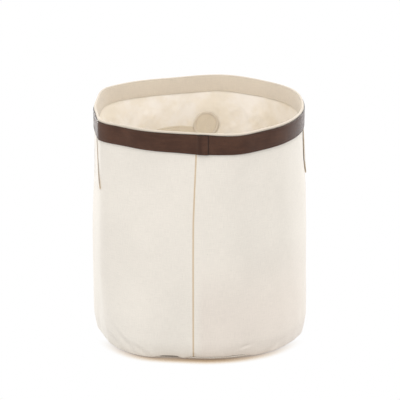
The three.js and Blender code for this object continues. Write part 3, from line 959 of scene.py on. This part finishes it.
HANDLES = {side: cad_points(f"{side}_handle_root") for side in ("left", "right")}
HANDLE_AZIMUTH = {side: middle_azimuth(points) for side, points in HANDLES.items()}
HANDLE_HALF = 22.5 / MM_PER_DEGREE
ROOT_BULGE = 0.6 * MM
LAP_STEP = LEATHER + 0.4 * MM
EDGE_TO_ROW = 3.4 * MM
EDGE_PAINT = 1.3  # width of the painted edge, and of the painted shade at the lap's end, in millimetres


def band_lift(azimuth):
    """How far the band is pushed out by the handles' ends and by its own first end."""
    lift = smoothstep(azimuth, 358.3, 359.9) * LAP_STEP
    for centre in HANDLE_AZIMUTH.values():
        away = abs(turn(azimuth, centre))
        lift = lift + ROOT_BULGE * (1 - smoothstep(away, HANDLE_HALF + 1, HANDLE_HALF + 7))
    return lift


band_waves = ripples(seed=40, count=8, around=(4, 11), upwards=0)


def band_shape(azimuth, offset, height):
    """Lifts the band, draws it in along both rows of stitches and lets its edges wander."""
    middle = (BAND_BOTTOM + BAND_TOP) / 2
    edge_share = (height - middle) / (BAND_TOP - middle)
    outside = offset > BAND_MIDDLE
    row_at = 1 - EDGE_TO_ROW / (BAND_TOP - middle)
    pull = bell(abs(edge_share) - row_at, 0.06) * outside
    pad = 0.35 * (1 - edge_share**2) * outside
    last = turn(azimuth, LAP_END) > -1.2
    tuck = 0.3 * outside * last * (azimuth > 359)
    wider = bell(turn(azimuth, 1), 8)
    wander = MM * (0.35 * band_waves(azimuth, 0) + wider) * edge_share
    offset = offset + band_lift(azimuth) + MM * (pad - 0.28 * pull - tuck)
    return azimuth, offset, height + wander


def on_band(azimuth, height):
    """A line of stitches on the band's outer face. Either of the two may be one number."""
    azimuth, height = azimuth + 0 * height, height + 0 * azimuth
    azimuth, offset, height = band_shape(azimuth, BAND_MIDDLE + LEATHER / 2 + 0 * azimuth, height)
    return azimuth, offset + 0.05 * MM, height


def paint_edges_and_lap_shade(band, from_azimuth):
    """The dark painted edge round the band: its cut faces, which have edge paint, and the last stretch of the
    lap, where the dark is painted shade at the step of the band's end.
    """
    band.data.materials.append(edge_and_lap_shade_leather)
    along = band.data.uv_layers["cloth"].data
    start = from_azimuth * MM_PER_DEGREE * MM
    for polygon in band.data.polygons:
        heights = [band.data.vertices[v].co.z for v in polygon.vertices]
        low = max(heights) < BAND_BOTTOM + EDGE_PAINT / 2 * MM
        high = min(heights) > BAND_TOP - EDGE_PAINT / 2 * MM
        # Painted shade: the last stretch of the lap takes the dark edge leather
        last = min(along[loop].uv.x for loop in polygon.loop_indices) > start - 1e-6
        polygon.material_index = int(low or high or last)


def make_band():
    end = 360 + LAP_END
    edges = [LAP_START, 0.1, 0.2, 0.37, 1.2]
    columns = np.concatenate([edges, np.arange(2, 358, 1.0), np.arange(358, 360.4, 0.2),
                              np.arange(361, end - 1, 0.5), end - np.array(edges[::-1])])
    inset = np.array([0, 0.25, 0.6, 1.1, 1.8, 2.6, 3.0, 3.4, 3.8, 4.4, 5.5]) * MM
    heights = np.concatenate([BAND_BOTTOM + inset, rows(BAND_BOTTOM + 8 * MM, BAND_TOP - 8 * MM, 3 * MM),
                              BAND_TOP - inset[::-1]])
    path = [(BAND_MIDDLE, z) for z in heights]
    band = sweep("leather_band", columns, ribbon(path, LEATHER), brown_leather, band_shape, closed=False)
    paint_edges_and_lap_shade(band, end - EDGE_PAINT / MM_PER_DEGREE)
    finish_piece(band, "leather", "rim_band")

    along = np.arange(LAP_END + 1, end - 1, 0.5)
    for name, height in (("lower", BAND_BOTTOM + EDGE_TO_ROW), ("upper", BAND_TOP - EDGE_TO_ROW)):
        line = on_band(along, height)
        sew(f"band_{name}_stitches", line, brown_thread, f"band_{name}_thread")

    line = on_band(end - 0.75, rows(BAND_BOTTOM + 5 * MM, BAND_TOP - 5 * MM, 2 * MM))
    sew("band_lap_stitches", line, brown_thread, "band_lap_thread")


# ---------------------------------------------------------------- handles

HANDLE_TOP = levels("left_handle_root")[1]
HANDLE_BOTTOM = levels("left_handle")[0]
BEND_START = BAND_BOTTOM - 0.3 * MM
FOLD_SWELL = 1.0 * MM  # how far the strap's fold springs open


def handle_lean(side):
    """How far the loop's lower end hangs to one side, in degrees."""
    points = cad_points(f"{side}_handle")
    return middle_azimuth(points[points[:, 2] < HANDLE_BOTTOM + 10 * MM]) - middle_azimuth(
        points[points[:, 2] > BAND_BOTTOM - 5 * MM])


def strap_path():
    """From under the band down the inner layer, round the fold and up the outer layer."""
    low = HANDLE_BOTTOM + STRAP / 2
    inner = [(STRAP_INNER, z) for z in rows(HANDLE_TOP, low + 5 * MM, 3 * MM)]
    fold = [(STRAP_INNER + FOLD_SWELL * (1 - math.cos(a)), low + 3 * MM - 3 * MM * math.sin(a))
            for a in np.radians(np.arange(15, 166, 15))]
    outer = []
    for z in rows(low + 4.5 * MM, HANDLE_TOP, 3 * MM):
        spring = FOLD_SWELL * smoothstep(z, low + 36 * MM, low + 8 * MM)
        outer.append((STRAP_OUTER + spring, z))
    return inner + fold + outer


def blend_strap(piece, side):
    """Bakes the piece's placing into its points. The point on the band's lower edge that it works out is not
    used.
    """
    edge = Vector(place(np.array(HANDLE_AZIMUTH[side]), np.array(STRAP_OUTER), np.array(BEND_START)))
    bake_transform(piece)


def show_cut_edges(strap):
    """Flat, tan faces on the strap's two long edges, which sweep makes last: painted shade for the shade line
    along the strap's edge.
    """
    strap.data.materials.append(shade_line_cloth)
    caps = len(ribbon(strap_path(), STRAP)[0]) - 1
    for polygon in strap.data.polygons[-2 * caps:]:
        polygon.material_index = 1
        polygon.use_smooth = False


def sew_strap(side, strap_shape):
    """A row of stitches along each long edge of the loop's outer layer."""
    heights = rows(BEND_START - 4 * MM, HANDLE_BOTTOM + 10 * MM, 3 * MM)
    swell = FOLD_SWELL * smoothstep(heights, HANDLE_BOTTOM + 36 * MM, HANDLE_BOTTOM + 8 * MM)
    front = 1 if side == "left" else -1
    for name, sign in (("front", front), ("back", -front)):
        along = HANDLE_AZIMUTH[side] + sign * (HANDLE_HALF - 3.2 / MM_PER_DEGREE) + 0 * heights
        line = strap_shape(along, STRAP_OUTER + STRAP / 2 + swell, heights)
        row = stitches(f"{side}_strap_{name}_stitches", line, pale_thread)
        blend_strap(row, side)


def sew_bars(side):
    """The two bars of stitches through the band that hold the strap's end."""
    for name in ("lower", "upper"):
        node = f"{side}_handle_{name}_stitches"
        centre = HANDLE_AZIMUTH[side]
        span = turn(azimuth_of(cad_points(node)), centre)
        line = on_band(centre + np.linspace(span.min(), span.max(), 40), sum(levels(node)) / 2)
        sew(f"{side}_bar_{name}_stitches", line, brown_thread, node)


def make_handle(side):
    centre = HANDLE_AZIMUTH[side]
    lean = handle_lean(side)
    top, drop = BEND_START, BEND_START - HANDLE_BOTTOM

    def strap_shape(azimuth, offset, height):
        """Leans the loop, rounds the strap's long edges and keeps it clear of the wall."""
        from_edge = (HANDLE_HALF - abs(turn(azimuth, centre))) * MM_PER_DEGREE * MM
        thin = np.sqrt(np.clip(1 - np.clip(1 - from_edge / (0.15 * MM), 0, 1) ** 2, 0.6, 1))
        layer = np.where(offset < (STRAP_INNER + STRAP_OUTER) / 2, STRAP_INNER, STRAP_OUTER)
        layer = np.where(height < HANDLE_BOTTOM + 12 * MM, offset, layer)
        pressed = STRAP_PRESSED * smoothstep(height, BAND_BOTTOM - 8 * MM, BAND_BOTTOM)
        offset = layer + (offset - layer) * thin - pressed
        hanging = np.clip((top - height) / drop, 0, 1)
        cup = 0.25 * MM * (turn(azimuth, centre) / HANDLE_HALF) ** 2 * hanging
        azimuth = azimuth + lean * hanging
        return azimuth, offset + relief(azimuth, height) + cup, height

    edge_steps = np.array([0, 0.05, 0.15, 0.6, 1.2, 2.2]) / MM_PER_DEGREE
    inner_columns = np.linspace(-HANDLE_HALF + 3 / MM_PER_DEGREE, HANDLE_HALF - 3 / MM_PER_DEGREE, 14)
    span = np.concatenate([-HANDLE_HALF + edge_steps, inner_columns, HANDLE_HALF - edge_steps[::-1]])
    faces = ribbon(strap_path(), STRAP)
    strap = sweep(f"{side}_strap", centre + span, faces, strap_cloth, strap_shape, closed=False)
    show_cut_edges(strap)
    blend_strap(strap, side)
    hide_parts(f"{side}_handle", f"{side}_handle_root")
    sew_strap(side, strap_shape)
    sew_bars(side)


# ---------------------------------------------------------------- patches

def make_arched_patch():
    """A low arch of darker cloth on the lining, painted shade for an appliqué on the wall's outside whose
    shade shows through the lining. Its top edge follows the CAD patch's arch.
    """
    points = cad_points("arched_patch")
    centre = middle_azimuth(points)
    span = turn(azimuth_of(points), centre)
    bottom, top = points[:, 2].min(), points[:, 2].max()
    stations = np.unique(span.round(1))
    edge = [points[abs(span - s) < 0.3, 2].max() for s in stations]
    curve = np.polyfit(stations, edge, 4)

    def arch(azimuth, offset, height):
        share = (height - bottom) / (top - bottom)
        height = bottom + share * (np.polyval(curve, turn(azimuth, centre)) - bottom)
        return patch_shape(azimuth, offset, height)

    ends = np.array([0, 0.05, 0.15, 0.3])
    middle = np.arange(span.min() + 1, span.max() - 0.5, 1.0)
    columns = np.concatenate([span.min() + ends, middle, span.max() - ends[::-1]])
    path = [(PATCH_MIDDLE, z) for z in rows(bottom, top, 3.5 * MM)]
    faces = ribbon(path, PATCH)
    patch = sweep("arched_patch_cloth", centre + columns, faces, patch_shade_cloth, arch, closed=False)
    finish_piece(patch, "patch", "arched_patch")

    inset = 3 / MM_PER_DEGREE
    along = np.linspace(span.min() + inset, span.max() - inset, 120)
    height = np.polyval(curve, along) - 3 * MM
    line = patch_shape(centre + along, PATCH_MIDDLE - PATCH / 2 + 0 * along, height)
    sew("arched_patch_stitches", line, pale_thread, facing=-1)


def round_profile(radius, seam):
    """The disc's section as (radius, how far out in mm): its front from the middle to the bound edge,
    then its back. Also how many of them are the front's."""
    binding = [(seam - 1 * MM, 0.35), (seam, 0.3), (seam + 1 * MM, 0.75), (seam + 3 * MM, 1.0),
               (radius - 1 * MM, 0.9), (radius - 0.3 * MM, 0.6)]
    rings = [(radius * share, 0.35) for share in (0.0, 0.12, 0.25, 0.38, 0.5, 0.62)] + binding
    front = [(r, -bulge) for r, bulge in rings]
    back = [(r, 0.35) for r, _ in rings[::-1]]
    return front + [(radius, 0.0)] + back, len(rings)


def make_round_patch():
    """A disc of darker cloth with a paler bound edge, sewn over the arch: painted shade for an appliqué on
    the wall's outside whose shade shows through the lining.
    """
    points = cad_points("round_patch")
    centre = middle_azimuth(points)
    low, high = points[:, 2].min(), points[:, 2].max()
    radius, level = (high - low) / 2, (low + high) / 2
    ring = cad_points("round_patch_thread")
    seam = (ring[:, 2].max() - ring[:, 2].min()) / 2
    turns = np.radians(np.arange(0, 360, 7.5))
    profile, front_rings = round_profile(radius, seam)
    size = len(turns)

    def circle(r, angles, out):
        """A circle about the disc's middle, laid on the lining and moved out by some mm."""
        x = r * np.cos(angles) / MM / MM_PER_DEGREE
        return patch_shape(centre + x, ROUND_PATCH_MIDDLE + out * MM + 0 * x, level + r * np.sin(angles))

    vertices = np.stack([place(*circle(r, turns, out)) for r, out in profile])
    k, s = np.meshgrid(np.arange(len(profile) - 1), np.arange(size), indexing="ij")
    t = (s + 1) % size
    quads = [k * size + s, (k + 1) * size + s, (k + 1) * size + t, k * size + t]
    quads = np.stack(quads, axis=-1).reshape(-1, 4)
    radii = np.array([r for r, _ in profile])
    angles = np.concatenate([turns, [turns[0]]])

    def flat(k, s):
        return [radii[k] * np.cos(angles[s]), radii[k] * np.sin(angles[s])]

    uv = np.stack(flat(k, s) + flat(k + 1, s) + flat(k + 1, t) + flat(k, t), axis=-1).reshape(-1, 2)
    patch = new_piece("round_patch_cloth", vertices, quads, uv, patch_shade_cloth)
    patch.data.materials.append(facing_cloth)
    for polygon in patch.data.polygons:
        step = polygon.index // size
        polygon.material_index = int(radii[min(step, len(radii) - 2)] >= seam and step < front_rings)
    close_axis(patch)
    finish_piece(patch, "patch", "round_patch")

    line = circle(seam, np.radians(np.arange(0, 361, 6.0)), -0.45)
    sew("round_patch_stitches", line, pale_thread, "round_patch_thread",
        facing=-1, closed=True, length=2 * MM, pitch=2.8 * MM)


# ---------------------------------------------------------------- the bin

wall = make_wall()
base = make_base()
lining, lining_floor = make_lining()
facing = make_facing()
make_band()
make_handle("left")
make_handle("right")
make_arched_patch()
make_round_patch()

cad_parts["base_board"].data.materials.clear()
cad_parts["base_board"].data.materials.append(greyboard)


# ---------------------------------------------------------------- studio

VIEW_ELEVATION = 18.5
VIEW_DISTANCE = 4.948
VIEW_WIDTH = 0.755  # how much of the object's plane the picture takes in
SENSOR = 36.0
SKY_TOP = 1.35  # strength of the sky overhead, against 1 at the horizon
SKY_FRONT = 0.88  # strength in front, against 1 at the sides
FLOOR_GLOW = 0.71  # how brightly the table lights the object
FLOOR_SHINE = 0.4  # how much brighter it looks in reflections
CAMERA_AIM = (2 * MM, 0, 27.6 * MM)  # from the bin's axis, half way up it
LIGHTS_AIM = (0, 0, 0.22)

# Each soft light's place, size and power
LIGHTS = {
    "left_light": ((-2.0, 2.6, 0.3), 0.9, 46),
    "right_light": ((2.2, 2.4, 0.3), 0.6, 17),
    "key_light": ((-0.3, -2.2, 2.8), 2.0, 24),
    "inside_light": ((1.4, 0.8, 1.6), 0.8, 7.5),
}

# The table's contact shadow: how far from the bin it reaches, which way the open sky is looked for,
# its colour for each share of open sky, and between which two Y it comes in
SHADOW_REACH = 36 * MM
SHADOW_FROM = (0.0, 0.35, 0.94)
SHADOW_RAMP = [
    (0.12, (0.19, 0.115, 0.06)),
    (0.36, (0.44, 0.29, 0.165)),
    (0.52, (0.84, 0.72, 0.58)),
    (0.70, (1.0, 1.0, 1.0)),
]
SHADOW_FRONT = (-0.09, -0.2)


def make_camera():
    data = bpy.data.cameras.new("camera")
    camera = bpy.data.objects.new("camera", data)
    bpy.context.scene.collection.objects.link(camera)
    bpy.context.scene.camera = camera
    elevation = math.radians(VIEW_ELEVATION)
    middle = (cad_low + cad_high) / 2
    target = Vector((0, 0, middle.z)) + Vector(CAMERA_AIM)
    back = Vector((0, -math.cos(elevation), math.sin(elevation)))
    camera.location = target + VIEW_DISTANCE * back
    camera.rotation_euler = (-back).to_track_quat("-Z", "Y").to_euler()
    data.sensor_width = SENSOR
    data.lens = SENSOR * VIEW_DISTANCE / VIEW_WIDTH


def make_softbox(name, place_at, size, power):
    """A square soft light that faces the middle of the bin."""
    data = bpy.data.lights.new(name, "AREA")
    data.shape = "SQUARE"
    data.size = size
    data.energy = power
    light = bpy.data.objects.new(name, data)
    light.location = place_at
    light.rotation_euler = (Vector(LIGHTS_AIM) - Vector(place_at)).to_track_quat("-Z", "Y").to_euler()
    bpy.context.scene.collection.objects.link(light)


def make_world():
    """White all round for the camera; for the object, brighter above and dimmer low in front."""
    world = bpy.data.worlds.new("studio")
    bpy.context.scene.world = world
    world.use_nodes = True
    nodes = Nodes(world.node_tree)
    background = world.node_tree.nodes["Background"]
    direction = nodes.split(nodes.add("TexCoord").outputs["Generated"])
    above = nodes.ramp(direction["Z"], 0.1, 0.7, 1.0, SKY_TOP)
    ahead = nodes.ramp(direction["Y"], -0.9, 0.3, SKY_FRONT, 1.0)
    seen = nodes.add("LightPath").outputs["Is Camera Ray"]
    lit = nodes.times(nodes.times(above, ahead), nodes.math("SUBTRACT", 1.0, seen))
    background.inputs["Color"].default_value = (1, 1, 1, 1)
    world.node_tree.links.new(nodes.math("MAXIMUM", lit, seen), background.inputs["Strength"])


def contact_shadow(nodes):
    """The warm shadow on the table close to the bin. It is a colour ramp over how shut in each point
    of the table is, and the lights don't cast it."""
    normal = nodes.add("CombineXYZ", dict(zip("XYZ", SHADOW_FROM))).outputs[0]
    inputs = {"Distance": SHADOW_REACH, "Normal": normal}
    open_sky = nodes.add("AmbientOcclusion", inputs, samples=16).outputs["AO"]
    ramp = nodes.add("ValToRGB", {"Fac": open_sky})
    stops = ramp.color_ramp.elements
    for index, (position, colour) in ((0, SHADOW_RAMP[0]), (1, SHADOW_RAMP[-1])):
        stops[index].position = position
        stops[index].color = (*colour, 1)
    for position, colour in SHADOW_RAMP[1:-1]:
        stops.new(position).color = (*colour, 1)
    in_front = nodes.ramp(nodes.split(nodes.space())["Y"], *SHADOW_FRONT)
    return nodes.mix(in_front, (1, 1, 1, 1), ramp.outputs["Color"])


def make_floor():
    """A white table, which glows so that it looks as white as the sky behind it."""
    mesh = bpy.data.meshes.new("floor")
    reach = 12.0
    corners = [(-reach, -reach, 0), (reach, -reach, 0), (reach, reach, 0), (-reach, reach, 0)]
    mesh.from_pydata(corners, [], [(0, 1, 2, 3)])
    floor = bpy.data.objects.new("floor", mesh)
    floor.location.z = cad_low.z - 0.2 * MM
    bpy.context.scene.collection.objects.link(floor)
    material = bpy.data.materials.new("white_table")
    material.use_nodes = True
    tree = material.node_tree
    tree.nodes.remove(tree.nodes["Principled BSDF"])
    nodes = Nodes(tree)
    rays = nodes.add("LightPath").outputs
    strength = nodes.ramp(rays["Is Camera Ray"], 0.0, 1.0, FLOOR_GLOW, 1.0)
    strength = nodes.math("MULTIPLY_ADD", rays["Is Glossy Ray"], FLOOR_SHINE, strength)
    glow = nodes.add("Emission", {"Color": contact_shadow(nodes), "Strength": strength})
    tree.links.new(glow.outputs[0], tree.nodes["Material Output"].inputs["Surface"])
    mesh.materials.append(material)


make_camera()
make_world()
make_floor()
for light, (place_at, size, power) in LIGHTS.items():
    make_softbox(light, place_at, size, power)
bpy.context.scene.view_settings.view_transform = "Standard"
